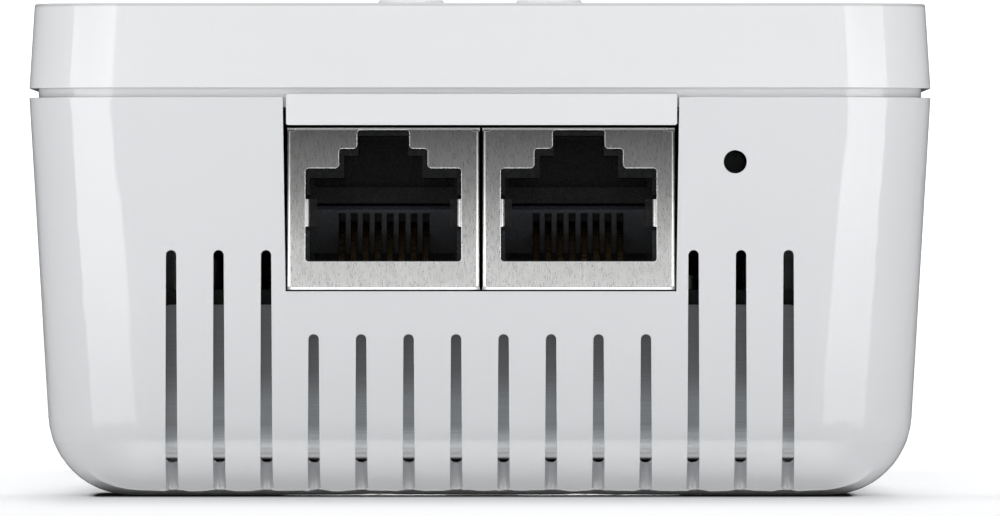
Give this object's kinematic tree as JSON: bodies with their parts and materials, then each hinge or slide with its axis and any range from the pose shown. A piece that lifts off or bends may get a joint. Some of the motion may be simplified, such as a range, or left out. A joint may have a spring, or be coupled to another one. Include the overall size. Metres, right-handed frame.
{
  "type": "powerline adapter",
  "caption": "Wall-plug powerline network adapter with a pass-through mains socket, two shielded RJ45 ports, vents and push buttons.",
  "frame": {"origin": "the mains plug's axis where it meets the plane of the rear face", "axes": "+Z from the rear face to the front cover, -Y to the end with the network ports, +X to the right when the ports face the viewer with the cover up"},
  "size_m": [0.0764, 0.152, 0.0782],
  "materials": {
    "shell_plastic": "polished white, warm grey in shade",
    "cover_plastic": "polished white",
    "frame_plastic": "polished white",
    "button_plastic": "polished white",
    "inner_plastic": "fine matt",
    "plunger_plastic": "fine matt",
    "black_plastic": "satin",
    "clear_plastic": "clear",
    "lamp": "clear",
    "brushed_aluminium": "brushed along X",
    "shield_steel": "fine upright grain",
    "spring_steel": "drawn wire",
    "screw_steel": "zinc plated",
    "pin_metal": "nickel plated, turned",
    "strap_metal": "nickel plated",
    "contact_brass": "rolled",
    "gold": "gold plated",
    "board": "solder resist",
    "ferrite": "ground",
    "fuse_body": "glazed",
    "varistor_body": "dipped",
    "x_capacitor_body": "moulded",
    "can_sleeve": "shrink sleeve",
    "film": "thin film",
    "pad_rubber": "soft",
    "label": "blank, satin"
  },
  "bodies": {
    "case": {"antenna_left": "shield_steel", "antenna_right": "shield_steel", "board_header": "black_plastic", "board_screws": "screw_steel", "bridge_rectifier": "black_plastic", "bulk_capacitors": "can_sleeve", "case_screws": "screw_steel", "chip_heatsink": "brushed_aluminium", "common_mode_choke": "ferrite", "coupling_transformer": "ferrite", "crystal": "shield_steel", "flyback_transformer": "ferrite", "front_cover": "cover_plastic", "fuse": "fuse_body", "heat_plate": "brushed_aluminium", "insulating_sheet": "film", "jack_contacts_left": "gold", "jack_contacts_right": "gold", "jack_housing_left": "black_plastic", "jack_housing_right": "black_plastic", "jack_shield_left": "shield_steel", "jack_shield_right": "shield_steel", "lan_magnetics": "black_plastic", "leds": "lamp", "light_pipe": "clear_plastic", "live_contact": "contact_brass", "live_pin": "pin_metal", "main_board": "board", "mid_frame": "frame_plastic", "neutral_contact": "contact_brass", "neutral_pin": "pin_metal", "output_capacitors": "can_sleeve", "pair_switch": "black_plastic", "plc_chip": "black_plastic", "plug_body": "shell_plastic", "plug_earth_strap": "strap_metal", "power_board": "board", "rating_label": "label", "rear_shell": "shell_plastic", "reset_switch": "black_plastic", "shutter_spring": "spring_steel", "socket_base": "inner_plastic", "socket_earth_strap": "strap_metal", "socket_insert": "cover_plastic", "thermal_pads": "pad_rubber", "upper_board": "board", "varistor": "varistor_body", "wifi_can": "shield_steel", "wifi_switch": "black_plastic", "x_capacitor": "x_capacitor_body"},
    "pair_button_body": {"pair_button": "button_plastic"},
    "wifi_button_body": {"wifi_button": "button_plastic"},
    "pair_plunger_body": {"pair_plunger": "plunger_plastic"},
    "wifi_plunger_body": {"wifi_plunger": "plunger_plastic"},
    "reset_plunger_body": {"reset_plunger": "black_plastic"},
    "shutter_body": {"socket_shutter": "inner_plastic"}
  },
  "joints": [
    {"name": "pair_button_press", "type": "slide", "parent": "case", "child": "pair_button_body", "axis": [0, 0, -1], "range_m": [0, 0.0005], "stiffness_N_per_m": 600},
    {"name": "pair_plunger_press", "type": "slide", "parent": "case", "child": "pair_plunger_body", "axis": [0, 0, -1], "range_m": [0, 0.0005]},
    {"name": "wifi_button_press", "type": "slide", "parent": "case", "child": "wifi_button_body", "axis": [0, 0, -1], "range_m": [0, 0.0005], "stiffness_N_per_m": 600},
    {"name": "wifi_plunger_press", "type": "slide", "parent": "case", "child": "wifi_plunger_body", "axis": [0, 0, -1], "range_m": [0, 0.0005]},
    {"name": "reset_press", "type": "slide", "parent": "case", "child": "reset_plunger_body", "axis": [0, 1, 0], "range_m": [0, 0.0003], "stiffness_N_per_m": 600},
    {"name": "shutter_slide", "type": "slide", "parent": "case", "child": "shutter_body", "axis": [1, 0, 0], "range_m": [0, 0.006], "stiffness_N_per_m": 60, "springref_m": -0.002, "deforming": ["shutter_spring"]}
  ],
  "couplings": [
    {"joint": "pair_plunger_press", "follows": "pair_button_press", "ratio": 1},
    {"joint": "wifi_plunger_press", "follows": "wifi_button_press", "ratio": 1}
  ]
}
